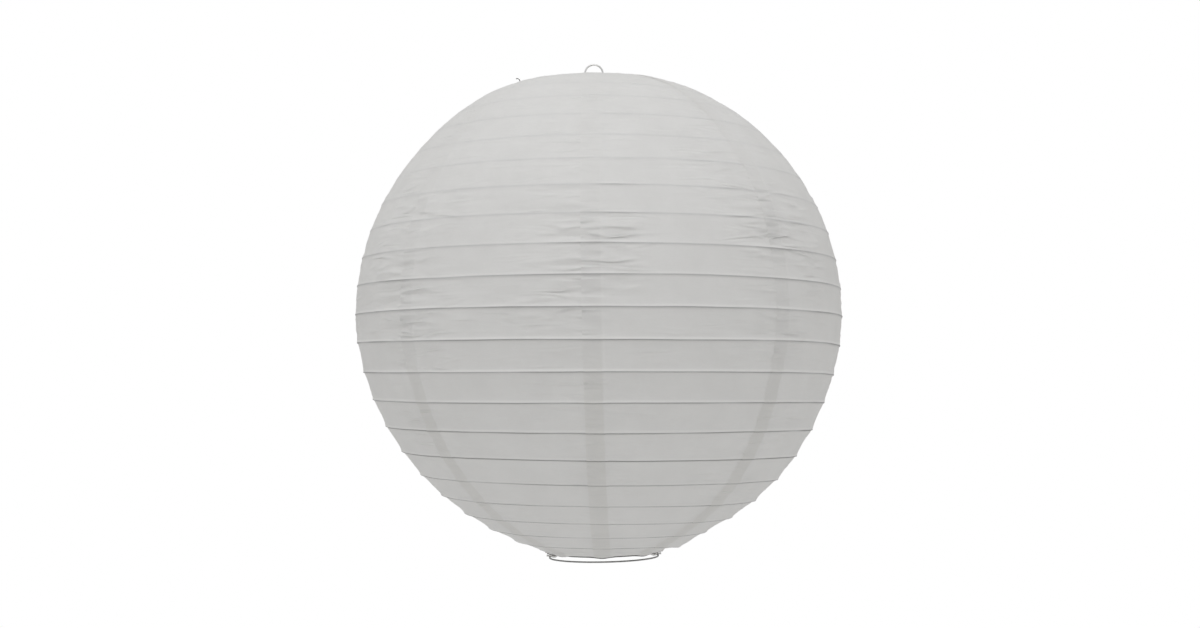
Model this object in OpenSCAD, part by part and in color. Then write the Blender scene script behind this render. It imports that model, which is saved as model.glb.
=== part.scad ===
// Round paper lantern: a globe of eight glued paper gores on one spiral rib wire,
// a steel ring at each opening, and a sprung steel expander that holds it open.
// Millimetres, +Z up. The origin is under the crown of the hanging loop.
// X runs along the expander's crossbar.

/* [Globe] */
// Outside diameter of the paper globe
globe_d = 350; // [340:10:400]
// Thickness of one layer of paper, thicker than the real sheet so that it is a sound solid
paper_t = 0.4; // [0.3:0.05:0.5]
// Width of the glued lap where one gore covers the next
lap_w = 12; // [8:1:16]

/* [Rib wire] */
// Diameter of the spiral rib wire
rib_wire_d = 0.7; // [0.5:0.1:0.9]
// Latitude between one turn of the rib wire and the next, in degrees
rib_pitch = 6.85; // [6.5:0.05:7.2]
// Latitude of the rib wire's free upper end, in degrees
rib_start_lat = 72.2; // [70:0.1:73]

/* [Rings] */
// Centre-line diameter of the steel ring at each opening
ring_d = 78.2; // [76:0.2:80]
// Diameter of the ring wire
ring_wire_d = 1.1; // [0.9:0.1:1.4]
// How far the top ring sits below the top of a full globe
top_ring_sink = 6.8; // [4:0.1:9]

/* [Expander] */
// Diameter of the expander wire
expander_wire_d = 1.3; // [1.2:0.1:1.5]
// Height of the hanging loop's crown above the top ring
loop_rise = 14; // [12:0.1:18]
// Centre-line radius of the hanging loop's round top
loop_r = 6.5; // [5:0.1:7.5]
// How far inside the rings' centre line each leg stands
leg_inset = 6.1; // [5.6:0.1:9]

/* [Hidden] */
$fn = 96;

// Paper
gores = 8;
gore_angle = 360 / gores;
// Direction of the first seam, which runs down the middle of the side facing -Y
first_seam = 268.5;
glue_gap = 0.1;
// Width of the strip where a gore steps up on to its neighbour, and how far it steps
step_w = 3;
flap = paper_t + glue_gap;
// Number of flat strips across the rest of a gore
panel_strips = 6;
globe_r = globe_d / 2;
sheet_r = globe_r - 2 * paper_t - glue_gap;
// The globe's outline has about one corner for each turn of the rib wire, from the first turn's
// latitude to this one, where the paper leaves the globe for its lower edge
hem_lat = -75.2;
folds = 22;
fold_angle = (rib_start_lat - hem_lat) / folds;
ring_r = ring_d / 2;
top_ring_rise = globe_r - top_ring_sink;
bottom_ring_drop = globe_r;
// The paper's upper edge lies just over the top ring
rim_gap = 0.15;
rim_r = ring_r + 0.2;
rim_z = top_ring_rise + ring_wire_d / 2 + rim_gap;
// Its lower edge, the hem, stops just outside and above the bottom ring
hem_out = 1.7;
hem_gap = 3.35;
hem_r = ring_r + hem_out;
hem_z = ring_wire_d / 2 + hem_gap - bottom_ring_drop;
hem_normal = [0.6, -0.8];

// Wires
wire_r = expander_wire_d / 2;
rib_wire_r = rib_wire_d / 2;
// The rib wire lies just inside the flat faces between the paper's corners and columns
rib_gap = 0.1;
strip_angle = gore_angle / panel_strips;
rib_r = (sheet_r - rib_gap) * cos(fold_angle / 2) * cos(strip_angle / 2) - rib_wire_r;
rib_steps = 36;
rib_sides = 6;
rib_first = 180;
// The rib wire's latitude would be this at angle 0 if its first turn were regular
rib_lat_0 = 79.4;
// Inside the hem the rib wire runs down a short cone, from the last corner to the paper's edge
hem_top = rib_r * [cos(hem_lat), sin(hem_lat)];
rib_inset = 0.4;
hem_edge = [hem_r - rib_inset, hem_z + rib_inset];
rib_cone = 360 * (rib_lat_0 - hem_lat) / rib_pitch;
cone_angle = 30;
rib_leave = rib_cone + cone_angle;
// Then it makes one level turn along the underside of the hem, tucks in over the bottom ring,
// and drops on to it
hem_line = [hem_r - 0.25, hem_z - 0.5];
ease_out = 25;
tuck_angle = 33;
tuck_steps = 6;
tuck = rib_leave + 360 - tuck_angle;
tuck_line = [ring_r, hem_edge.y];
drop_angle = 48;
drop_steps = 12;
land_angle = 51;
rib_land = 360 * (floor(rib_leave / 360) + 2) + land_angle;
drop = rib_land - drop_angle;
// The tail is wound round the bottom ring
tail_turns = 3;
tail_steps = 14;
tail_lead = 1.6;
tail_gap = 0.05;
tail_r = ring_wire_d / 2 + rib_wire_r + tail_gap;
tail_ease = 3;
tail_ease_steps = 10;
// The free end pokes out through the paper
tip_out = 2.4;
tip_back = 3;
tip_bend = 2;
wire_sides = 12;
arc_steps = 8;

// Heights above the globe's centre of the wire under the top ring and over the bottom ring
seat_clearance = 0.03;
seat_gap = ring_wire_d / 2 + wire_r + seat_clearance;
bar_z = top_ring_rise - seat_gap;
foot_z = seat_gap - bottom_ring_drop;
crown_z = top_ring_rise + loop_rise;
// Each seat is a notch: the wire stands up beside the ring, more on its inner side
shoulder = 0.9;
lip = 0.3;
notch_run = 2.4;
seat_half = 0.5;
notch_out = 1.4;
leg_x = ring_r - leg_inset;
ear_x = ring_r + 2.8;
ear_r = 2.4;
bend_r = 2;
ear_drop = 5;
leg_top_z = bar_z - 2 * ear_r - ear_drop;
foot_bend = 3;
toe_x = ring_r + 2.2;
toe_rise = 0.06;
joint_gap = 0.06;
// Height of the origin above the globe's centre: the underside of the crown
origin_z = crown_z - wire_r;

// Sweeps a round wire along a path of points, with flat ends
function unit(v) = v / norm(v);
function tangent(path, i) =
    let (a = path[max(i - 1, 0)], b = path[min(i + 1, len(path) - 1)]) unit(b - a);
// A side direction that stays square to the path: each ring's is carried on from the ring before
function sides(path, i = 0, side = [0, 0, 0], found = []) =
    i == len(path) ? found :
    let (
        t = tangent(path, i),
        try = i == 0 ? cross(t, abs(t.z) < 0.9 ? [0, 0, 1] : [0, 1, 0]) : side - (side * t) * t,
        s = unit(try)
    ) sides(path, i + 1, s, concat(found, [s]));

module sweep(path, r, n) {
    side = sides(path);
    last = len(path) - 1;
    points = [
        for (i = [0:last])
            let (t = tangent(path, i), u = side[i], v = cross(t, u))
            for (k = [0:n - 1])
                path[i] + r * (cos(360 * k / n) * u + sin(360 * k / n) * v)
    ];
    faces = concat(
        [[for (k = [0:n - 1]) k]],
        [[for (k = [n - 1:-1:0]) last * n + k]],
        [
            for (i = [0:last - 1])
                for (k = [0:n - 1])
                    let (a = i * n + k, b = i * n + (k + 1) % n)
                    each [[a, a + n, b + n], [a, b + n, b]]
        ]
    );
    polyhedron(points, faces);
}

// Points on an arc in the XZ plane about [x, z], from one angle to another
function arc(x, z, r, from, to, steps = arc_steps) =
    [for (i = [0:steps]) let (a = from + (to - from) * i / steps) [x + r * cos(a), 0, z + r * sin(a)]];

// The outline of one layer of paper, between two distances outside the innermost face
function rib_point(lat, s) = (sheet_r + s) * [cos(lat), sin(lat)];
function globe_line(s) = [for (k = [0:folds]) rib_point(rib_start_lat - k * fold_angle, s)];
function paper_line(s) = concat(
    [[rim_r, rim_z + s]], globe_line(s), [[hem_r, hem_z] + s * hem_normal]
);
function reversed(list) = [for (i = [len(list) - 1:-1:0]) list[i]];

// A place on the globe: the outline's radius and height, turned to an angle
function around(place, a) = [place.x * cos(a), place.x * sin(a), place.y];

// The columns of points across a gore. Each holds its angle from the gore's first seam at a
// radius, and how far the sheet stands off the innermost face there. The gore starts on top of
// its neighbour, steps down past the neighbour's edge, and ends under the next gore
function columns(r) =
    let (
        half_lap = asin(lap_w / 2 / r),
        flap_end = asin((lap_w / 2 + glue_gap) / r),
        start = asin((lap_w / 2 + glue_gap + step_w) / r),
        stop = gore_angle - half_lap
    ) concat(
        [[-half_lap, flap], [0, flap], [flap_end, flap]],
        [for (k = [0:panel_strips]) [start + (stop - start) * k / panel_strips, 0]],
        [[gore_angle, 0], [gore_angle + half_lap, 0]]
    );

// One gore as a single closed sheet with an inner and an outer face
module gore(number) {
    seam = first_seam + (number - 1) * gore_angle;
    rows = len(paper_line(0));
    across = len(columns(globe_r));
    points = [
        for (depth = [0, paper_t])
            for (c = [0:across - 1])
                for (r = [0:rows - 1])
                    let (
                        column = columns(paper_line(0)[r].x)[c],
                        place = paper_line(column[1] + depth)[r]
                    ) around(place, seam + column[0])
    ];
    outer = across * rows;
    faces = concat(
        [
            for (c = [0:across - 2])
                for (r = [0:rows - 2])
                    let (a = c * rows + r, b = a + rows)
                    each [
                        [outer + a, outer + b, outer + b + 1],
                        [outer + a, outer + b + 1, outer + a + 1],
                        [a, b + 1, b],
                        [a, a + 1, b + 1]
                    ]
        ],
        [
            for (c = [0:across - 2])
                let (a = c * rows, b = a + rows, end = rows - 1)
                each [
                    [outer + b, outer + a, a],
                    [outer + b, a, b],
                    [outer + a + end, outer + b + end, b + end],
                    [outer + a + end, b + end, a + end]
                ]
        ],
        [
            for (r = [0:rows - 2])
                let (last = (across - 1) * rows + r)
                each [
                    [outer + r, outer + r + 1, r + 1],
                    [outer + r, r + 1, r],
                    [outer + last + 1, outer + last, last],
                    [outer + last + 1, last, last + 1]
                ]
        ]
    );
    polyhedron(points, faces);
}

module in_frame() {
    translate([0, 0, -origin_z]) children();
}

// The rib wire: one left-handed spiral from its free end under the paper down to the bottom
// ring. Its place is a radius and a height at each angle
function rib_lat(a) = min(rib_lat_0 - rib_pitch * a / 360, rib_start_lat);
function rib_place(a) =
    a < rib_cone ? rib_r * [cos(rib_lat(a)), sin(rib_lat(a))]
    : hem_top + (a - rib_cone) / cone_angle * (hem_edge - hem_top);
function smooth(x) = x * x * (3 - 2 * x);
// Between two places, at a share of the way
function between(from, to, share) = from + (to - from) * smooth(min(max(share, 0), 1));
function hem_place(a) =
    a < tuck ? between(hem_edge, hem_line, (a - rib_leave) / ease_out) :
    a < drop ? between(hem_line, tuck_line, (a - tuck) / tuck_angle) :
    between(tuck_line, [ring_r, tail_r - bottom_ring_drop], (a - drop) / drop_angle);
function tail_place(i) =
    let (turn = 360 * i / tail_steps)
    [ring_r + tail_r * sin(turn), tail_r * cos(turn) - bottom_ring_drop];
function tail_angle(i) =
    let (left = 1 - min(i / tail_ease_steps, 1))
    rib_land + (tail_lead * i / tail_steps + tail_ease * (1 - left * left)) / ring_r * 180 / PI;

module rib_wire() {
    steps = floor((rib_leave - rib_first) / 360 * rib_steps);
    tip = [
        around(rib_place(rib_first) * (1 + tip_out / rib_r), rib_first - tip_back),
        around(rib_place(rib_first), rib_first + tip_bend)
    ];
    spiral = [
        for (i = [1:steps - 1])
            let (a = rib_first + i * 360 / rib_steps)
            around(rib_place(a), a)
    ];
    hem = [
        for (a = [rib_leave:360 / rib_steps:tuck - 1]) a,
        for (i = [0:tuck_steps - 1]) tuck + tuck_angle * i / tuck_steps,
        for (a = [tuck + tuck_angle:360 / rib_steps:drop - 1]) a,
        for (i = [0:drop_steps]) drop + drop_angle * i / drop_steps
    ];
    down = [for (a = hem) around(hem_place(a), a)];
    tail = [for (i = [1:tail_turns * tail_steps]) around(tail_place(i), tail_angle(i))];
    color("dimgray") in_frame() sweep(concat(tip, spiral, down, tail), rib_wire_r, rib_sides);
}

module ring(z) {
    color("silver")
        in_frame()
            translate([0, 0, z])
                rotate_extrude()
                    translate([ring_r, 0])
                        circle(d = ring_wire_d);
}

module top_ring() {
    ring(top_ring_rise);
}

module bottom_ring() {
    ring(-bottom_ring_drop);
}

// The wire passes under a ring, or over one where way is -1, in a notch that keeps it there
function notch(z, way, lip) = [
    [ring_r - notch_run, 0, z + way * shoulder],
    [ring_r - notch_run / 2, 0, z + way * shoulder * 0.4],
    [ring_r - seat_half, 0, z],
    [ring_r + seat_half, 0, z],
    [ring_r + notch_out, 0, z + way * lip]
];

// The middle of the expander wire: the hanging loop, the bar on each side of it, and the two
// ears that seat the top ring and turn back in to the legs
function half_crossbar() = concat(
    arc(0, crown_z - loop_r, loop_r, 90, 0),
    arc(loop_r + bend_r, bar_z + shoulder + bend_r, bend_r, 180, 270, 6),
    notch(bar_z, 1, lip),
    arc(ear_x, bar_z + lip - ear_r, ear_r, 80, -90),
    arc(leg_x + ear_r, bar_z + lip - 3 * ear_r, ear_r, 90, 180),
    [[leg_x, 0, leg_top_z]]
);
function mirrored(path) = [for (p = path) [-p.x, p.y, p.z]];

module expander_crossbar() {
    half = half_crossbar();
    path = concat(reversed(mirrored(half)), [for (i = [1:len(half) - 1]) half[i]]);
    color("lightgray") in_frame() sweep(path, wire_r, wire_sides);
}

// A leg: straight down inside the globe, then out over the bottom ring to a toe that is level,
// so that the foot slides off the ring when the leg is pressed inwards
function leg_path() = concat(
    [[leg_x, 0, leg_top_z - joint_gap]],
    arc(leg_x + foot_bend, foot_z - shoulder + foot_bend, foot_bend, 180, 270),
    notch(foot_z, -1, -toe_rise),
    [[toe_x, 0, foot_z + 2 * toe_rise]]
);

module leg(side) {
    path = side > 0 ? leg_path() : reversed(mirrored(leg_path()));
    color("lightgray") in_frame() sweep(path, wire_r, wire_sides);
}

module expander_left_leg() {
    leg(-1);
}

module expander_right_leg() {
    leg(1);
}

module placed_gore(number) {
    color("whitesmoke") in_frame() gore(number);
}

placed_gore(1);  // gore_1
placed_gore(2);  // gore_2
placed_gore(3);  // gore_3
placed_gore(4);  // gore_4
placed_gore(5);  // gore_5
placed_gore(6);  // gore_6
placed_gore(7);  // gore_7
placed_gore(8);  // gore_8
rib_wire();
top_ring();
bottom_ring();
expander_crossbar();
expander_left_leg();
expander_right_leg();
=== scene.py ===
"""Round paper lantern: eight glued paper gores on one spiral rib wire, with steel rings and an expander.

Blender works in metres and the sizes here are millimetres, +Z up. The origin is under the crown of the
hanging loop, as in the CAD part. Angles round the lantern are degrees, anticlockwise from +X seen from
above, and the camera looks from -Y. A run is a distance down the paper from its upper edge.
"""

import math

import bpy
import numpy as np
from mathutils import Matrix, Vector


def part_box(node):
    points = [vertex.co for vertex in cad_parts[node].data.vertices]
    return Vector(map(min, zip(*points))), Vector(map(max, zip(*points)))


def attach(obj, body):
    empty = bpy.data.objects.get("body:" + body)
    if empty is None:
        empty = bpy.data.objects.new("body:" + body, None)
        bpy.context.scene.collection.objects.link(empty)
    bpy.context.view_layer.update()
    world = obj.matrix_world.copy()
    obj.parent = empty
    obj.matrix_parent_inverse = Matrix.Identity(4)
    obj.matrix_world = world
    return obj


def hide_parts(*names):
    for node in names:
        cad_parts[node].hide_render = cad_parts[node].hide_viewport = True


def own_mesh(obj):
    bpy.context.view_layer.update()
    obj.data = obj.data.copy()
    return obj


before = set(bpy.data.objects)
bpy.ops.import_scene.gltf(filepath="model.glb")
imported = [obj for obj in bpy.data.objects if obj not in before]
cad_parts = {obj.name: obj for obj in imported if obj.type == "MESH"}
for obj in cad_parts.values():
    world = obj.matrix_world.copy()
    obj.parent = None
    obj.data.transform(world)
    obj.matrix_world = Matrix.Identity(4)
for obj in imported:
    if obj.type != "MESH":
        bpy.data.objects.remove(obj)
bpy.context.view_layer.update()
scene = bpy.context.scene
MM = 0.001

# ---------------------------------------------------------------- sizes, in millimetres and degrees
# The rings, from the CAD part's own boxes, and the globe between them
top_low, top_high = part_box("top_ring")
bottom_low, bottom_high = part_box("bottom_ring")
RING_WIRE_R = (top_high.z - top_low.z) / 2 / MM
RING_R = (top_high.x - top_low.x) / 2 / MM - RING_WIRE_R
TOP_RING_Z = (top_low.z + top_high.z) / 2 / MM
BOTTOM_RING_Z = (bottom_low.z + bottom_high.z) / 2 / MM
GLOBE_R = 175.0
CENTRE_Z = BOTTOM_RING_Z + GLOBE_R

# The paper, with heights from the middle of the globe
GORES = 8
GORE_ANGLE = 360 / GORES
FIRST_SEAM = 178.5
FIRST_GORE = 7  # the gore that begins at the first seam
LAP = 12.0  # width of a glued lap
LAYER_GAP = 0.22  # how far the upper layer of a lap stands off the lower
STEP = 2.5  # width of the strip where a gore comes down off its neighbour
SHEET_R = GLOBE_R - 0.6
RIM_GAP = 0.2  # between the top ring and the paper rolled over it
RIM_R = RING_R + RIM_GAP
RIM_Z = TOP_RING_Z - CENTRE_Z + RING_WIRE_R + 0.15
HEM_R = RING_R + 1.7
HEM_Z = BOTTOM_RING_Z - CENTRE_Z + RING_WIRE_R + 3.35
HEM_LAT = -75.2
HEM_DIP = 0.9  # how far the hem hangs down at a lap
HEM_DIP_WIDTH = 5.5
HEM_DIP_RUN = 12  # the dip begins this far up the paper

# The rib wire: its latitude falls by RIB_PITCH in each turn, from a level start
RIBS = 23
RIB_WIRE_R = 0.35
RIB_PITCH = 6.85
RIB_SPACING = 20.8  # the usual distance between two turns, down the paper
RIB_LAT_0 = 79.4  # the latitude that its even fall has at 0 degrees wound
RIB_START_LAT = 72.2  # the level start
RIB_START = 188.0  # degrees wound where its free end comes up
CONE_ANGLE = 30.0  # the wire crosses the paper's lowest strip in this much of a turn
WIRE_GAP = 0.10  # between the wire and the paper over it

# The turns wander a little, but not near the ends of the wire
WANDER_FROM = 380.0  # degrees wound
WANDER_SHORT = 40.0  # and they stop wandering this far before the lowest strip
WANDER_EASE = 60.0
WANDER = 0.5  # slowly, by this much
WOBBLE = 0.13  # and from place to place by this much
CREEP = 1.4  # they have crept this far from even spacing
CREEP_MIDDLE = 0.6  # upwards the most at this share of the way down the paper
CREEP_WAVE = 0.62  # and downwards the most at half this share from there

# How the globe departs from a sphere
SHOULDER_FULL = 1.7  # it is fuller at its shoulder, between these runs
SHOULDER_RISE = (10, 50)
SHOULDER_FALL = (60, 115)
FLANK_SLACK = 1.3  # and slacker below its middle
FLANK_RISE = (240, 310)
FLANK_EASE = 40
UNEVEN = 1.5  # fuller on one side at the shoulder, and on the other side low down
UNEVEN_ANGLE = 195
UNEVEN_SHOULDER = (44, 27)  # middle and width, as runs
UNEVEN_SLOPE = 16  # it lies this much higher on the full side and lower on the other
UNEVEN_EASE = 10
UNEVEN_LOW = (370, 60)  # middle and width
FLARE = 2.4  # the lowest bands stand out this much at one place
FLARE_ANGLE = 343.0
FLARE_SPREAD = 20
FLARE_ABOVE_HEM = 19
FLARE_WIDTH = 11
FLARE_EASE = 8

# How tightly the paper is drawn over the wire: loosely above the middle, but for spots beside the seams
LOOSE = 0.15
TIGHTER = (150, 280)  # runs between which it goes over to tight
SPOT_TIGHT = 0.6
SPOT_REACH = 12  # degrees from a seam
SPOT_RISE = (120, 160)  # there are no spots above these runs


# ---------------------------------------------------------------- small helpers
def smooth(x):
    """0 below 0, 1 above 1, and an even S between."""
    x = np.clip(x, 0.0, 1.0)
    return x * x * (3 - 2 * x)


def rise(x, start, end):
    """0 before the start, 1 after the end, and an even S between."""
    return smooth((x - start) / (end - start))


def hump(x, middle, width):
    """1 in the middle, falling away on both sides."""
    return np.exp(-(((x - middle) / width) ** 2))


def away_from(angle, other, period=360):
    """The angle from another one that comes again in each period, the short way round."""
    return (angle - other + period / 2) % period - period / 2


def noise(degrees, cells, y, seed):
    """Smooth noise from -1 to 1, with this many cells round the lantern and one for each 1 of y.

    It depends on the angle and not on the gore, so it is the same on both layers of a lap.
    """
    table = np.random.default_rng(seed).uniform(-1, 1, (cells, 256))
    x, y = np.broadcast_arrays(np.asarray(degrees, float) / 360 * cells, np.asarray(y, float))
    xi, yi = np.floor(x).astype(int), np.floor(y).astype(int)
    fx, fy = smooth(x - xi), smooth(y - yi)

    def at(i, j):
        return table[(xi + i) % cells, (yi + j) % 256]

    low = at(0, 0) * (1 - fx) + at(1, 0) * fx
    high = at(0, 1) * (1 - fx) + at(1, 1) * fx
    return low * (1 - fy) + high * fy


CREASE_SLOPE = 2.4


def creases(degrees, cells, y, seed):
    """Noise drawn up into sharp folds, each with a flat hollow beside it."""
    return 1 - CREASE_SLOPE * np.abs(noise(degrees, cells, y, seed))


def add_object(name, mesh, material):
    obj = bpy.data.objects.new(name, mesh)
    scene.collection.objects.link(obj)
    mesh.materials.append(material)
    return obj


def grid_mesh(name, points, uv):
    """A smooth mesh from points[column, row] in millimetres, with its faces turned outwards."""
    columns, rows = points.shape[:2]
    mesh = bpy.data.meshes.new(name)
    index = np.arange(columns * rows).reshape(columns, rows)
    quads = np.stack([index[:-1, :-1], index[:-1, 1:], index[1:, 1:], index[1:, :-1]], axis=-1)
    mesh.from_pydata((points.reshape(-1, 3) * MM).tolist(), [], quads.reshape(-1, 4).tolist())
    layer = mesh.uv_layers.new(name="flat")
    corners = np.empty(len(mesh.loops), np.int64)
    mesh.loops.foreach_get("vertex_index", corners)
    layer.data.foreach_set("uv", uv.reshape(-1, 2)[corners].ravel().astype(np.float32))
    mesh.shade_smooth()
    return mesh


def tube_mesh(name, path, radius, sides):
    """A round wire along path, in millimetres, closed with a cap at each end."""
    path = np.asarray(path, float)
    tangents = np.gradient(path, axis=0)
    tangents /= np.linalg.norm(tangents, axis=1)[:, None]
    side = np.cross(tangents[0], (0, 0, 1))
    rings = []
    turn = 2 * np.pi * np.arange(sides) / sides
    for centre, tangent in zip(path, tangents):
        side = side - side.dot(tangent) * tangent
        side /= np.linalg.norm(side)
        other = np.cross(tangent, side)
        rings.append(centre + radius * (np.outer(np.cos(turn), side) + np.outer(np.sin(turn), other)))
    points = np.concatenate(rings)
    faces = [
        (i * sides + k, i * sides + (k + 1) % sides, (i + 1) * sides + (k + 1) % sides, (i + 1) * sides + k)
        for i in range(len(path) - 1)
        for k in range(sides)
    ]
    last = (len(path) - 1) * sides
    faces.append(tuple(range(sides - 1, -1, -1)))
    faces.append(tuple(last + k for k in range(sides)))
    mesh = bpy.data.meshes.new(name)
    mesh.from_pydata((points * MM).tolist(), [], faces)
    mesh.shade_smooth()
    return mesh


# ---------------------------------------------------------------- camera
# A normal lens at eye level, a little below the middle of the globe, held slightly off level
CAMERA_DISTANCE = 7.0 * GLOBE_R
CAMERA_DROP = 0.298 * GLOBE_R
CAMERA_SIDE = 0.8
CAMERA_ROLL = -1.2
LENS = 50.7
SENSOR = 36.0
camera_data = bpy.data.cameras.new("camera")
camera_data.sensor_width = SENSOR
camera_data.lens = LENS
camera = bpy.data.objects.new("camera", camera_data)
scene.collection.objects.link(camera)
scene.camera = camera
camera.matrix_world = (
    Matrix.Translation(Vector((CAMERA_SIDE, -CAMERA_DISTANCE, CENTRE_Z - CAMERA_DROP)) * MM)
    @ Matrix.Rotation(math.radians(90) + math.atan(CAMERA_DROP / CAMERA_DISTANCE), 4, "X")
    @ Matrix.Rotation(math.radians(CAMERA_ROLL), 4, "Z")
)


# ---------------------------------------------------------------- materials
class Nodes:
    """Builds the node tree of one material or world."""

    def __init__(self, owner):
        self.owner = owner
        owner.use_nodes = True
        self.tree = owner.node_tree
        self.tree.nodes.clear()

    def add(self, kind, values=(), **settings):
        node = self.tree.nodes.new(kind)
        for key, value in settings.items():
            setattr(node, key, value)
        for key, value in dict(values).items():
            node.inputs[key].default_value = value
        return node

    def link(self, source, target):
        self.tree.links.new(source, target)

    def output(self, kind, shader):
        self.link(shader, self.add(kind).inputs["Surface"])
        return self.owner


def material_nodes(name):
    return Nodes(bpy.data.materials.new(name))


def ramp(nodes, source, stops):
    """A colour ramp with these (position, colour) stops."""
    node = nodes.add("ShaderNodeValToRGB")
    while len(node.color_ramp.elements) < len(stops):
        node.color_ramp.elements.new(0.5)
    for element, (position, colour) in zip(node.color_ramp.elements, stops):
        element.position = position
        element.color = (*colour, 1.0)
    nodes.link(source, node.inputs["Fac"])
    return node.outputs["Color"]


def product(nodes, first, second):
    """Two values multiplied: the first is a socket, and the second a socket or a number."""
    node = nodes.add("ShaderNodeMath", operation="MULTIPLY")
    nodes.link(first, node.inputs[0])
    if isinstance(second, float):
        node.inputs[1].default_value = second
    else:
        nodes.link(second, node.inputs[1])
    return node.outputs["Value"]


def mark(nodes, attribute):
    """How strong one of the marks is that the gores carry on their meshes."""
    return nodes.add("ShaderNodeAttribute", attribute_name=attribute).outputs["Fac"]


def tinted(nodes, colour, factor, tint):
    """A colour that goes over to a tint by a factor."""
    node = nodes.add("ShaderNodeMix", data_type="RGBA")
    nodes.link(factor, node.inputs["Factor"])
    nodes.link(colour, node.inputs["A"])
    node.inputs["B"].default_value = (*tint, 1.0)
    return node.outputs["Result"]


WIRE_AND_SHADE_SHOWS = 0.6  # how strongly the wire seen through the paper, with painted shade along it, darkens the paper over it
# the colour of the wire seen through the paper and of the painted shade along each rib
WIRE_AND_SHADE_TINT = (0.20, 0.19, 0.18)
LAP_GLUE_AND_SHADE_SHOWS = 0.25  # and the glue with painted shade in a lap
# the colour of the glue and painted shade in a lap
GLUE_AND_SHADE_TINT = (0.74, 0.73, 0.69)
# the colour of the painted highlight just above a rib
PAINTED_HIGHLIGHT_TINT = (0.99, 0.99, 0.99)
TRANSLUCENT = 0.32


def paper_material():
    """Thin white rice paper: fibres and cloudy thickness in it, fine creases on it, and light through it."""
    nodes = material_nodes("rice_paper")
    where = nodes.add("ShaderNodeTexCoord")
    uv = where.outputs["UV"]
    place = where.outputs["Object"]

    clouds = nodes.add("ShaderNodeTexNoise", {"Scale": 38.0, "Detail": 5.0, "Roughness": 0.6})
    nodes.link(place, clouds.inputs["Vector"])
    fibre_map = nodes.add("ShaderNodeMapping", {"Scale": (260.0, 1500.0, 1.0), "Rotation": (0, 0, 0.35)})
    nodes.link(uv, fibre_map.inputs["Vector"])
    fibres = nodes.add(
        "ShaderNodeTexNoise", {"Scale": 1.0, "Detail": 3.0, "Roughness": 0.7, "Distortion": 1.6}
    )
    nodes.link(fibre_map.outputs["Vector"], fibres.inputs["Vector"])

    mixed = nodes.add("ShaderNodeMix", {"Factor": 0.35}, data_type="FLOAT")
    nodes.link(clouds.outputs["Fac"], mixed.inputs["A"])
    nodes.link(fibres.outputs["Fac"], mixed.inputs["B"])
    tone = mixed.outputs["Result"]
    face = ramp(nodes, tone, [(0.30, (0.822, 0.823, 0.825)), (0.70, (0.868, 0.869, 0.872))])
    through = ramp(nodes, tone, [(0.30, (0.82, 0.80, 0.745)), (0.70, (0.90, 0.884, 0.835))])

    # The wire shows through on both sides, with painted shade along each rib. The face has a painted
    # highlight just above a rib, and is duller on a lap with glue and painted shade
    wire_and_shade_shows = product(nodes, mark(nodes, "wire_and_shade"), WIRE_AND_SHADE_SHOWS)
    face = tinted(nodes, face, wire_and_shade_shows, WIRE_AND_SHADE_TINT)
    through = tinted(nodes, through, wire_and_shade_shows, WIRE_AND_SHADE_TINT)
    # painted highlight on the face just above a rib
    face = tinted(nodes, face, mark(nodes, "painted_highlight"), PAINTED_HIGHLIGHT_TINT)
    # glue and painted shade on the laps of the lower half
    face = tinted(nodes, face, product(nodes, mark(nodes, "lap_glue_and_shade"), LAP_GLUE_AND_SHADE_SHOWS), GLUE_AND_SHADE_TINT)

    crease_map = nodes.add("ShaderNodeMapping", {"Scale": (30.0, 170.0, 1.0)})
    nodes.link(uv, crease_map.inputs["Vector"])
    fine_creases = nodes.add(
        "ShaderNodeTexNoise",
        {"Scale": 1.0, "Detail": 1.5, "Distortion": 0.7},
        noise_type="RIDGED_MULTIFRACTAL",
    )
    nodes.link(crease_map.outputs["Vector"], fine_creases.inputs["Vector"])
    fibre_bump = nodes.add("ShaderNodeBump", {"Strength": 0.35, "Distance": 0.00012})
    nodes.link(fibres.outputs["Fac"], fibre_bump.inputs["Height"])
    bump = nodes.add("ShaderNodeBump", {"Strength": 0.9, "Distance": 0.0026})
    nodes.link(product(nodes, fine_creases.outputs["Fac"], mark(nodes, "crinkle")), bump.inputs["Height"])
    nodes.link(fibre_bump.outputs["Normal"], bump.inputs["Normal"])

    front = nodes.add("ShaderNodeBsdfPrincipled", {"Roughness": 0.62, "Specular IOR Level": 0.30})
    nodes.link(face, front.inputs["Base Color"])
    nodes.link(bump.outputs["Normal"], front.inputs["Normal"])
    back = nodes.add("ShaderNodeBsdfTranslucent")
    nodes.link(through, back.inputs["Color"])
    nodes.link(bump.outputs["Normal"], back.inputs["Normal"])
    both = nodes.add("ShaderNodeMixShader", {"Fac": TRANSLUCENT})
    nodes.link(front.outputs["BSDF"], both.inputs[1])
    nodes.link(back.outputs["BSDF"], both.inputs[2])
    return nodes.output("ShaderNodeOutputMaterial", both.outputs["Shader"])


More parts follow.
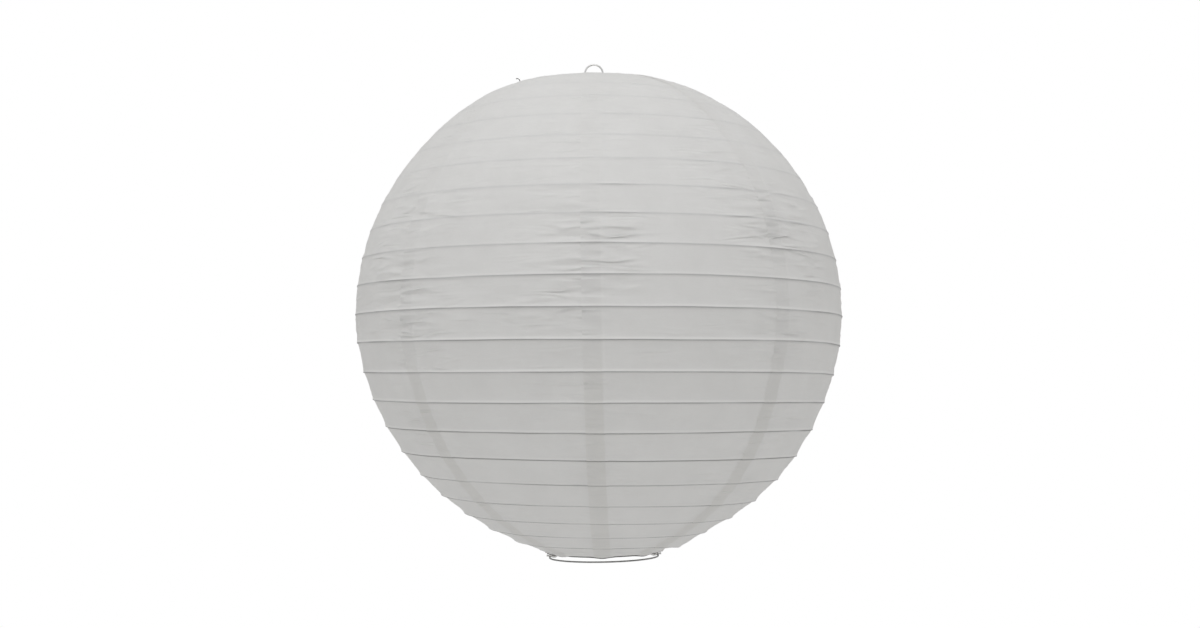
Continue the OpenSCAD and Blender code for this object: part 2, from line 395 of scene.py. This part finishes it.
def wire_material(name, dark, light, roughness):
    """Drawn steel wire, with cloudy wear and fine scratches."""
    nodes = material_nodes(name)
    where = nodes.add("ShaderNodeTexCoord")
    wear = nodes.add("ShaderNodeTexNoise", {"Scale": 420.0, "Detail": 4.0, "Roughness": 0.65})
    nodes.link(where.outputs["Object"], wear.inputs["Vector"])
    colour = ramp(nodes, wear.outputs["Fac"], [(0.35, dark), (0.65, light)])
    gloss = nodes.add("ShaderNodeMapRange", {"To Min": roughness - 0.08, "To Max": roughness + 0.12})
    nodes.link(wear.outputs["Fac"], gloss.inputs["Value"])
    scratches = nodes.add("ShaderNodeTexNoise", {"Scale": 2600.0, "Detail": 2.0, "Roughness": 0.5})
    nodes.link(where.outputs["Object"], scratches.inputs["Vector"])
    bump = nodes.add("ShaderNodeBump", {"Strength": 0.15, "Distance": 0.00005})
    nodes.link(scratches.outputs["Fac"], bump.inputs["Height"])
    steel = nodes.add("ShaderNodeBsdfPrincipled", {"Metallic": 1.0})
    nodes.link(colour, steel.inputs["Base Color"])
    nodes.link(gloss.outputs["Result"], steel.inputs["Roughness"])
    nodes.link(bump.outputs["Normal"], steel.inputs["Normal"])
    return nodes.output("ShaderNodeOutputMaterial", steel.outputs["BSDF"])


paper = paper_material()
rib_steel = wire_material("rib_steel", (0.10, 0.10, 0.10), (0.20, 0.20, 0.19), 0.45)
ring_steel = wire_material("ring_steel", (0.20, 0.20, 0.20), (0.34, 0.34, 0.33), 0.34)
expander_steel = wire_material("expander_steel", (0.72, 0.72, 0.72), (0.90, 0.90, 0.89), 0.36)


# ---------------------------------------------------------------- the globe's own line
def on_sphere(lat):
    """Radius and height of the paper's sphere at a latitude."""
    return SHEET_R * np.array([math.cos(math.radians(lat)), math.sin(math.radians(lat))])


RIM = np.array([RIM_R, RIM_Z])
SHOULDER = on_sphere(RIB_START_LAT)
WAIST = on_sphere(HEM_LAT)
HEM = np.array([HEM_R, HEM_Z])
CONE_TOP = np.linalg.norm(SHOULDER - RIM)
SPHERE_RUN = SHEET_R * math.radians(RIB_START_LAT - HEM_LAT)
CONE_BOTTOM = np.linalg.norm(HEM - WAIST)
WHOLE_RUN = CONE_TOP + SPHERE_RUN + CONE_BOTTOM


def fullness_at(run, degrees):
    """How far the paper stands outside its sphere."""
    to_hem = WHOLE_RUN - run
    fuller = SHOULDER_FULL * rise(run, *SHOULDER_RISE) * (1 - rise(run, *SHOULDER_FALL))
    slacker = FLANK_SLACK * rise(run, *FLANK_RISE) * rise(to_hem, 0, FLANK_EASE)
    side = np.cos(np.radians(degrees - UNEVEN_ANGLE))
    shoulder = hump(run + UNEVEN_SLOPE * side, *UNEVEN_SHOULDER) * rise(run, 0, UNEVEN_EASE)
    uneven = UNEVEN * side * (shoulder - hump(run, *UNEVEN_LOW))
    flare = FLARE * hump(away_from(degrees, FLARE_ANGLE), 0, FLARE_SPREAD)
    flare = flare * hump(to_hem, FLARE_ABOVE_HEM, FLARE_WIDTH) * rise(to_hem, 0, FLARE_EASE)
    return fuller - slacker + uneven + flare


def paper_line(run, degrees=0.0):
    """Radius, height and outward normal of the paper at a run: a sphere with a cone at each end."""
    run = np.asarray(run, float)
    lat = np.radians(RIB_START_LAT) - (run - CONE_TOP) / SHEET_R
    radius, height = SHEET_R * np.cos(lat), SHEET_R * np.sin(lat)
    normal_r, normal_z = np.cos(lat), np.sin(lat)
    for inside, start, end, from_start in (
        (run < CONE_TOP, RIM, SHOULDER, run),
        (run > CONE_TOP + SPHERE_RUN, WAIST, HEM, run - CONE_TOP - SPHERE_RUN),
    ):
        along = (end - start) / np.linalg.norm(end - start)
        radius = np.where(inside, start[0] + along[0] * from_start, radius)
        height = np.where(inside, start[1] + along[1] * from_start, height)
        normal_r = np.where(inside, -along[1], normal_r)
        normal_z = np.where(inside, along[0], normal_z)
    fuller = fullness_at(run, degrees)
    return radius + fuller * normal_r, height + fuller * normal_z, normal_r, normal_z


RIB_CONE = 360 * (RIB_LAT_0 - HEM_LAT) / RIB_PITCH  # where the wire leaves the globe for the hem
RIB_LEAVE = RIB_CONE + CONE_ANGLE


def rib_run(angle, n=0):
    """The run at which the rib wire lies, n turns on from an angle."""
    wound = np.asarray(angle, float) + 360 * n
    turns = wound / 360
    lat = np.minimum(RIB_LAT_0 - RIB_PITCH * turns, RIB_START_LAT)
    run = CONE_TOP + SHEET_R * np.radians(RIB_START_LAT - lat)
    hem_part = np.clip((wound - RIB_CONE) / CONE_ANGLE, 0, 1)
    run = np.where(wound > RIB_CONE, WHOLE_RUN + CONE_BOTTOM * (hem_part - 1), run)
    free = rise(wound, WANDER_FROM, WANDER_FROM + WANDER_EASE)
    free = free * rise(RIB_CONE - WANDER_SHORT - wound, 0, WANDER_EASE)
    wander = WANDER * noise(wound, cells=9, y=2 * turns, seed=7)
    wobble = WOBBLE * noise(wound, cells=40, y=3 * turns, seed=8)
    creep = -CREEP * np.cos(2 * np.pi * (run / WHOLE_RUN - CREEP_MIDDLE) / CREEP_WAVE)
    return run + free * (wander + wobble + creep)


def patchy(usual, varies, most, pattern):
    """Patches of a usual strength that varies with a noise pattern, from 0 to the most it can be."""
    return np.clip(usual + varies * pattern, 0, most)


def tightness(run, degrees):
    """How tightly the paper is drawn over the wire, from 0 to 1."""
    spots = patchy(0.45, 1.1, 1, noise(degrees, cells=30, y=run / RIB_SPACING, seed=160))
    near_seam = hump(away_from(degrees, FIRST_SEAM, GORE_ANGLE), 0, SPOT_REACH)
    loose = LOOSE + SPOT_TIGHT * spots * near_seam * rise(run, *SPOT_RISE)
    return loose + (1 - loose) * rise(run, *TIGHTER)


# ---------------------------------------------------------------- paper gores
BAND_ROWS = np.array([0, 0.45, 1, *np.linspace(2.1, 18.6, 12), 19.8, 20.35]) / RIB_SPACING
LAST_RUN = WHOLE_RUN - 1.0  # the rib above the hem never comes lower than this
RIM_ROLL = np.radians(np.linspace(195, 90, 6))  # the paper's upper edge is rolled over the ring
RIM_RUNS = np.linspace(-1.4, -0.2, len(RIM_ROLL))
PANEL_COLUMNS = 40
OVER_COLUMNS = np.array([-6, -3, 0, 3, 5.4, 6.2, 7.0, 7.8, 8.6])  # millimetres from the first seam
UNDER_COLUMNS = np.array([0, 3, 6.0])  # and from the second
SETTLING = 3  # how often rows and columns are fitted to each other
UV_SHIFT = 400  # millimetres between two gores laid out flat

RIDGE = 0.75  # how far the paper stands up over the wire
RIDGE_ABOVE = 1.5  # it rises to the wire over this much from above
RIDGE_BELOW = 0.6  # and falls away below it over this much
RIDGE_EASE = 1.5  # it dies out over this much above the hem
HOLLOW = 0.25  # how far the paper shrinks in between two ribs
HOLLOW_VARIES = 0.4
WIDE_BAND = 14  # a narrower band is less hollow and less wrinkled
CALM = 4.0  # the paper nearer a rib than this is less wrinkled too

PAPER_WAVES = 0.18  # height of the soft waves
WRINKLE_REACH = 40  # wrinkles lie about this near a seam
WRINKLE_MIDDLE = (0.48, 0.17)  # and most are about the middle: place and width as shares of the way down
WRINKLES_ALL, WRINKLES_AT_SEAM, WRINKLES_IN_MIDDLE = 0.10, 0.22, 0.80
WIDE_FOLDS = 0.62  # height of the folds where the paper is fully wrinkled
NARROW_FOLDS = 0.34
FOLD_SLANT = 1.6
FOLD_ON_RIB = 0.25  # this share of a fold is left where it crosses a rib

SHOWS_BELOW, SHOWS_ABOVE = 1.2, 0.4  # the wire seen through the paper, with painted shade along it, shows this far below and above its ridge
LOW_RIBS = (350, 390)  # the ribs below these runs show more, with darker painted shade
LOW_RIBS_MORE = 0.5
DARK_RIBS = (338, 26)  # and the few about here most of all: middle and width
DARK_RIBS_MORE = 0.9
HIGHLIGHT_FROM, HIGHLIGHT_TO = 0.3, 1.3  # a painted highlight lies between these distances above a rib
HIGHLIGHT_POWER = 1.5  # it is stronger where the paper is drawn tighter
HIGHLIGHT_FADES = (280, 380)  # and weaker on the low ribs
HIGHLIGHT_FADES_BY = 0.6
LAP_SHOWS = (240, 310)  # the glue and painted shade in the laps show only below these runs


class Gore:
    """The points of one gore, as arrays [column, row]: columns from seam to seam, rows from rim to hem."""

    def __init__(self, seam):
        self.seam = seam
        self.band = np.append(np.repeat(np.arange(RIBS + 1), len(BAND_ROWS)), RIBS)
        self.part = np.append(np.tile(BAND_ROWS, RIBS + 1), 1.0)
        columns = len(OVER_COLUMNS) + PANEL_COLUMNS + len(UNDER_COLUMNS)
        self.turn = np.full((columns, len(self.band)), seam, float)
        for _ in range(SETTLING):
            self.follow_ribs()
            self.place_columns()
        self.width = (self.turn - seam) * np.pi / 180 * self.radius  # millimetres from the first seam
        self.to_seam = np.minimum(
            np.abs(self.width), np.abs(GORE_ANGLE * np.pi / 180 * self.radius - self.width)
        )
        self.tight = tightness(self.run, self.turn)
        self.fullness = smooth(self.length / WIDE_BAND)
        self.calm = smooth(np.minimum(self.below_rib, self.above_rib) / CALM)

    def follow_ribs(self):
        """Each row keeps its share of the way between two ribs, at the angles its columns are at."""
        upper = np.where(self.band == 0, 0.0, np.minimum(rib_run(self.turn, self.band - 1), LAST_RUN))
        lower = np.where(self.band == RIBS, WHOLE_RUN, rib_run(self.turn, self.band))
        lower = np.where(self.band == RIBS - 1, np.minimum(lower, LAST_RUN), lower)
        self.length = lower - upper
        self.run = upper + self.length * self.part
        self.below_rib = np.where(self.band == 0, np.inf, self.run - upper)
        self.above_rib = np.where(self.band == RIBS, np.inf, lower - self.run)
        self.radius, self.height, self.normal_r, self.normal_z = paper_line(self.run, self.turn)

    def place_columns(self):
        """A fixed width over each lap, and even shares of the panel between the laps."""
        over, panel = len(OVER_COLUMNS), len(OVER_COLUMNS) + PANEL_COLUMNS
        share = np.linspace(0, 1, PANEL_COLUMNS + 1)[1:, None]
        first = self.seam + np.degrees(OVER_COLUMNS[:, None] / self.radius[:over])
        start = np.degrees(OVER_COLUMNS[-1] / self.radius[over:panel])
        stop = GORE_ANGLE - np.degrees(LAP / 2 / self.radius[over:panel])
        last = self.seam + GORE_ANGLE + np.degrees(UNDER_COLUMNS[:, None] / self.radius[panel:])
        self.turn = np.concatenate([first, self.seam + start + (stop - start) * share, last])


def band_shape(gore):
    """How far the paper stands out where it is smooth: hollow between the ribs, and up over each rib."""
    arc = 4 * gore.part * (1 - gore.part)
    on_globe = (gore.run > CONE_TOP) & (gore.run < CONE_TOP + SPHERE_RUN)
    chord = np.where(on_globe, gore.length**2 / (8 * SHEET_R), 0.0)
    varies = 1 + HOLLOW_VARIES * noise(gore.turn, cells=40, y=gore.run / 21, seed=40)
    hollow = arc * gore.tight * (chord + HOLLOW * gore.fullness * varies)
    slope_above = gore.fullness / RIDGE_ABOVE + (1 - gore.fullness) / RIDGE_BELOW
    ridge = np.maximum(hump(gore.below_rib, 0, RIDGE_BELOW), np.exp(-gore.above_rib * slope_above))
    return RIDGE * gore.tight * ridge * smooth((WHOLE_RUN - gore.run) / RIDGE_EASE) - hollow


def wrinkledness(gore):
    """How wrinkled the paper is: patchy, and most beside the seams about the middle of the globe."""
    near_seam = hump(gore.to_seam, 0, WRINKLE_REACH)
    in_middle = hump(gore.run / WHOLE_RUN, *WRINKLE_MIDDLE)
    patches = patchy(0.75, 0.9, 1.4, noise(gore.turn, cells=34, y=gore.run / 24, seed=130))
    return (WRINKLES_ALL + near_seam * (WRINKLES_AT_SEAM + WRINKLES_IN_MIDDLE * in_middle)) * patches


def wrinkles(gore, crinkle):
    """How far the paper stands out for its waves and folds. On a rib it can only lift off the wire."""
    waves = PAPER_WAVES * noise(gore.turn, cells=26, y=gore.run / 12, seed=100)
    slant = FOLD_SLANT * noise(gore.turn, cells=15, y=gore.run / 40, seed=60)
    folds = WIDE_FOLDS * creases(gore.turn, cells=30, y=gore.run / 6.5 + slant, seed=70)
    folds = folds + NARROW_FOLDS * creases(gore.turn, cells=52, y=gore.run / 4.2 - slant, seed=90)
    freedom = np.where(folds > 0, FOLD_ON_RIB + (1 - FOLD_ON_RIB) * gore.calm, gore.calm)
    return gore.fullness * (gore.calm * waves + crinkle * folds * freedom)


def marks(gore, crinkle):
    """What the paper's material shows at each point."""
    nearness = np.minimum(gore.below_rib / SHOWS_BELOW, gore.above_rib / SHOWS_ABOVE)
    # The wire seen through the paper, with painted shade along each rib, strongest on the low ribs
    wire_and_shade = rise(gore.tight, LOOSE, 1) * np.clip(1 - nearness, 0, 1)
    wire_and_shade *= patchy(0.85, 0.5, 1, noise(gore.turn, cells=36, y=gore.run / 12, seed=150))
    wire_and_shade *= 1 + LOW_RIBS_MORE * rise(gore.run, *LOW_RIBS) + DARK_RIBS_MORE * hump(gore.run, *DARK_RIBS)
    # A painted highlight on the paper just above each rib, where light from above would catch the ridge
    highlight = gore.tight**HIGHLIGHT_POWER * (1 - HIGHLIGHT_FADES_BY * rise(gore.run, *HIGHLIGHT_FADES))
    above = (gore.above_rib > HIGHLIGHT_FROM) & (gore.above_rib < HIGHLIGHT_TO)
    return {
        "crinkle": crinkle,
        "wire_and_shade": wire_and_shade,
        "painted_highlight": np.where(above, highlight, 0.0),
        # Glue and painted shade in the laps, on the lower half only
        "lap_glue_and_shade": np.where(gore.width < LAP / 2, rise(gore.run, *LAP_SHOWS), 0.0),
    }


def rim_first(values, mode):
    """The rows of a gore with those of the rolled rim before them."""
    return np.pad(values, ((0, 0), (len(RIM_ROLL), 0)), mode)


def gore_mesh(name, number, seam):
    """One paper gore from seam to seam, lapped over its neighbour at the first and under at the second."""
    gore = Gore(seam)
    crinkle = wrinkledness(gore)
    lift = band_shape(gore) + wrinkles(gore, crinkle)
    lift += LAYER_GAP * (1 - smooth((gore.width - LAP / 2) / STEP))

    radius = rim_first(gore.radius + gore.normal_r * lift, "edge")
    height = gore.height + gore.normal_z * lift
    dip = HEM_DIP * hump(gore.to_seam, 0, HEM_DIP_WIDTH)
    height -= dip * rise(gore.run, WHOLE_RUN - HEM_DIP_RUN, WHOLE_RUN)
    height = rim_first(height, "edge")
    rolled = RING_WIRE_R + RIM_GAP + lift[:, :1]
    radius[:, : len(RIM_ROLL)] = RING_R + rolled * np.cos(RIM_ROLL)
    height[:, : len(RIM_ROLL)] = TOP_RING_Z - CENTRE_Z + rolled * np.sin(RIM_ROLL)
    angle = np.radians(rim_first(gore.turn, "edge"))
    points = np.stack([radius * np.cos(angle), radius * np.sin(angle), height + CENTRE_Z], axis=-1)

    run = rim_first(gore.run, "edge")
    run[:, : len(RIM_ROLL)] = RIM_RUNS
    flat = np.stack([rim_first(gore.width, "edge") + UV_SHIFT * number, run], axis=-1)
    mesh = grid_mesh(name, points, flat * MM)
    for attribute, values in marks(gore, crinkle).items():
        values = rim_first(values, "constant").ravel().astype(np.float32)
        mesh.attributes.new(attribute, "FLOAT", "POINT").data.foreach_set("value", values)
    return mesh


gores = []
for number in range(1, GORES + 1):
    seam = FIRST_SEAM + GORE_ANGLE * ((number - FIRST_GORE) % GORES)
    gore = add_object(f"paper_gore_{number}", gore_mesh(f"paper_gore_{number}", number, seam), paper)
    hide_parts(f"gore_{number}")
    gores.append(gore)

# ---------------------------------------------------------------- rib wire
RIB_SIDES = 6
RIB_STEP = 3.0  # degrees between two points of its path
FREE_END = (  # from its tip to the paper: millimetres outwards, millimetres upwards and degrees back
    (3.4, 5.0, 1.5),
    (2.0, 5.1, 1.2),
    (0.9, 4.2, 0.9),
    (0.3, 2.0, 0.5),
    (0.0, 0.0, 0.0),
)

# Past the last rib the wire runs along inside the hem, turns in, and drops to the bottom ring
EASE_OUT = 25.0
TUCK_ANGLE = 33.0
DROP_ANGLE = 48.0
LANDING_ANGLE = 51.0
tail_rise = RING_WIRE_R + RIB_WIRE_R + 0.02
rib_land = 360 * (RIB_LEAVE // 360 + 2) + LANDING_ANGLE
tuck = RIB_LEAVE + 360 - TUCK_ANGLE
drop = rib_land - DROP_ANGLE
hem_line = np.array([HEM_R - 0.2, HEM_Z - 0.35])
tuck_line = np.array([RING_R, HEM_Z + 0.4])
landing = np.array([RING_R, BOTTOM_RING_Z - CENTRE_Z + tail_rise])

# There it is wound round the ring
TAIL_TURNS = 3
TAIL_POINTS = 16  # in a turn
TAIL_LEAD = 0.1  # how far along the ring each point lies from the last
TAIL_START = 3.0  # and this much more over the first ones
TAIL_START_POINTS = 10


def wire_place(wound):
    """Radius and height of the rib wire at an angle wound on from +X, above the middle of the globe."""
    run = rib_run(wound)
    r, z, normal_r, normal_z = (float(x) for x in paper_line(run, wound))
    off = RIDGE * float(tightness(run, wound)) - WIRE_GAP - RIB_WIRE_R
    under_paper = np.array([r + normal_r * off, z + normal_z * off])
    if wound < RIB_LEAVE:
        return under_paper
    from_seam = math.radians(away_from(wound, FIRST_SEAM, GORE_ANGLE)) * HEM_R
    dipped = hem_line - np.array([0, HEM_DIP * hump(from_seam, 0, HEM_DIP_WIDTH)])
    if wound < tuck:
        return under_paper + (dipped - under_paper) * smooth((wound - RIB_LEAVE) / EASE_OUT)
    if wound < drop:
        return dipped + (tuck_line - dipped) * smooth((wound - tuck) / TUCK_ANGLE)
    return tuck_line + (landing - tuck_line) * smooth((wound - drop) / DROP_ANGLE)


def turned(r, z, angle):
    """The point at a radius, a height above the middle of the globe and an angle."""
    a = math.radians(angle)
    return (r * math.cos(a), r * math.sin(a), z + CENTRE_Z)


start_r, start_z = wire_place(RIB_START)
rib_path = [turned(start_r + out, start_z + up, RIB_START - back) for out, up, back in FREE_END]
rib_path += [turned(*wire_place(a), a) for a in np.arange(RIB_START + RIB_STEP, rib_land, RIB_STEP)]
for i in range(TAIL_TURNS * TAIL_POINTS + 1):
    winding = 2 * math.pi * i / TAIL_POINTS
    started = 1 - (1 - min(i / TAIL_START_POINTS, 1)) ** 2
    along = math.degrees((i * TAIL_LEAD + TAIL_START * started) / RING_R)
    tail_r = RING_R + tail_rise * math.sin(winding)
    tail_z = BOTTOM_RING_Z - CENTRE_Z + tail_rise * math.cos(winding)
    rib_path.append(turned(tail_r, tail_z, rib_land + along))
rib = add_object("rib_wire_spiral", tube_mesh("rib_wire_spiral", rib_path, RIB_WIRE_R, RIB_SIDES), rib_steel)
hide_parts("rib_wire")

for piece in (*gores, rib):
    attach(piece, "shade")
    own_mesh(piece)

# ---------------------------------------------------------------- the CAD's own rings and expander
for node, material in (
    ("top_ring", ring_steel),
    ("bottom_ring", ring_steel),
    ("expander_crossbar", expander_steel),
    ("expander_left_leg", expander_steel),
    ("expander_right_leg", expander_steel),
):
    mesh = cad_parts[node].data
    mesh.materials.clear()
    mesh.materials.append(material)

# ---------------------------------------------------------------- floor and light, in metres
FLOOR_Z = -1.0
FLOOR_R = 3.4
FADE_FROM = 0.9
HORIZON_LIGHT = 0.68
ZENITH_LIGHT = 0.64
WHITE = (1, 1, 1, 1)
KEY_PLACE = (-0.12, -0.72, 1.36)
KEY_SIZE = 0.9
KEY_POWER = 9.0


def camera_sees(nodes):
    """1 for what the camera itself sees, and 0 for what only lights the lantern."""
    return nodes.add("ShaderNodeLightPath").outputs["Is Camera Ray"]


def shader_mix(nodes, factor, first, second):
    node = nodes.add("ShaderNodeMixShader")
    nodes.link(factor, node.inputs["Fac"])
    nodes.link(first, node.inputs[1])
    nodes.link(second, node.inputs[2])
    return node.outputs["Shader"]


def floor_material():
    """Pale matt floor that goes over into the white surroundings at its edge, as a studio sweep does."""
    nodes = material_nodes("floor")
    cloudy = nodes.add("ShaderNodeTexNoise", {"Scale": 3.0, "Detail": 3.0})
    matt = nodes.add("ShaderNodeBsdfPrincipled", {"Roughness": 0.8, "Specular IOR Level": 0.2})
    colour = ramp(nodes, cloudy.outputs["Fac"], [(0.3, (0.90, 0.90, 0.90)), (0.7, (0.93, 0.93, 0.93))])
    nodes.link(colour, matt.inputs["Base Color"])
    place = nodes.add("ShaderNodeTexCoord")
    from_middle = nodes.add("ShaderNodeVectorMath", operation="LENGTH")
    nodes.link(place.outputs["Object"], from_middle.inputs[0])
    fade = nodes.add(
        "ShaderNodeMapRange", {"From Min": FADE_FROM, "From Max": FLOOR_R}, interpolation_type="SMOOTHERSTEP"
    )
    nodes.link(from_middle.outputs["Value"], fade.inputs["Value"])
    sweep = nodes.add("ShaderNodeEmission", {"Color": WHITE, "Strength": 1.0})
    faded = product(nodes, fade.outputs["Result"], camera_sees(nodes))
    mixed = shader_mix(nodes, faded, matt.outputs["BSDF"], sweep.outputs["Emission"])
    return nodes.output("ShaderNodeOutputMaterial", mixed)


def studio_world():
    """White behind everything, and soft light from all round that is a little weaker overhead."""
    nodes = Nodes(bpy.data.worlds.new("studio"))
    seen = nodes.add("ShaderNodeBackground", {"Color": WHITE, "Strength": 1.0})
    lit = nodes.add("ShaderNodeBackground", {"Color": WHITE})
    direction = nodes.add("ShaderNodeTexCoord")
    split = nodes.add("ShaderNodeSeparateXYZ")
    brightness = nodes.add("ShaderNodeMapRange", {"To Min": HORIZON_LIGHT, "To Max": ZENITH_LIGHT})
    nodes.link(direction.outputs["Generated"], split.inputs["Vector"])
    nodes.link(split.outputs["Z"], brightness.inputs["Value"])
    nodes.link(brightness.outputs["Result"], lit.inputs["Strength"])
    mixed = shader_mix(nodes, camera_sees(nodes), lit.outputs["Background"], seen.outputs["Background"])
    return nodes.output("ShaderNodeOutputWorld", mixed)


def key_light():
    """A large square light in front of the globe and above it, facing its middle."""
    data = bpy.data.lights.new("key", "AREA")
    data.shape = "SQUARE"
    data.size = KEY_SIZE
    data.energy = KEY_POWER
    light = bpy.data.objects.new("key", data)
    scene.collection.objects.link(light)
    direction = Vector((0, 0, CENTRE_Z * MM)) - Vector(KEY_PLACE)
    facing = direction.to_track_quat("-Z", "Y").to_matrix().to_4x4()
    light.matrix_world = Matrix.Translation(KEY_PLACE) @ facing
    light.visible_camera = False


bpy.ops.mesh.primitive_circle_add(vertices=96, radius=FLOOR_R, fill_type="NGON", location=(0, 0, FLOOR_Z))
floor = bpy.context.object
floor.name = "floor"
floor.data.materials.append(floor_material())
scene.world = studio_world()
key_light()
scene.view_settings.view_transform = "Standard"
